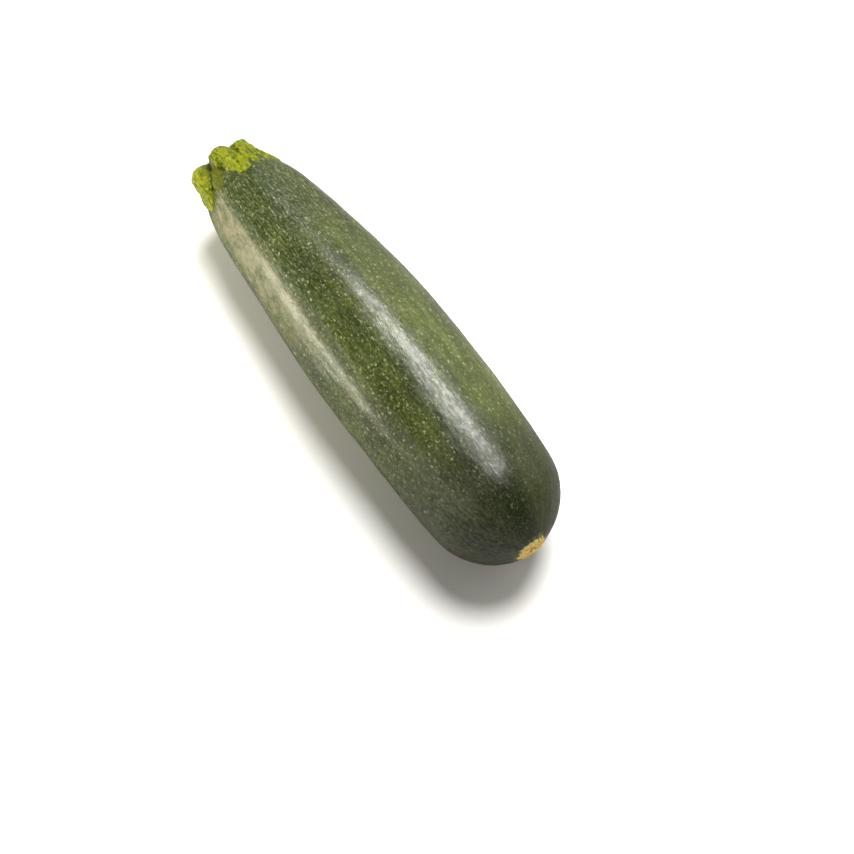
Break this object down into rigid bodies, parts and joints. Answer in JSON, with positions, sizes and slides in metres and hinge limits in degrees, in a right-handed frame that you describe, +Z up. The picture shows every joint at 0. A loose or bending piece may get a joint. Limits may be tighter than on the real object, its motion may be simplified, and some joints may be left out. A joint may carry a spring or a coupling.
{
  "type": "courgette",
  "caption": "Whole courgette lying on its side: a dark green speckled fruit with a short, lobed, cut stalk.",
  "frame": {"origin": "middle of the underside of the courgette's box, on the surface it lies on", "axes": "+X along the fruit from the stalk to the blossom end, +Z up, +Y to the side that the fruit bows towards"},
  "size_m": [0.2012, 0.0562, 0.0553],
  "materials": {
    "skin": "waxy dark green skin with fine pale green speckles and a tan blossom scar",
    "stalk": "moist yellow-green lobed stalk with a fibrous cut face"
  },
  "bodies": {
    "root": {"fruit": "skin", "stalk": "stalk"}
  },
  "joints": []
}
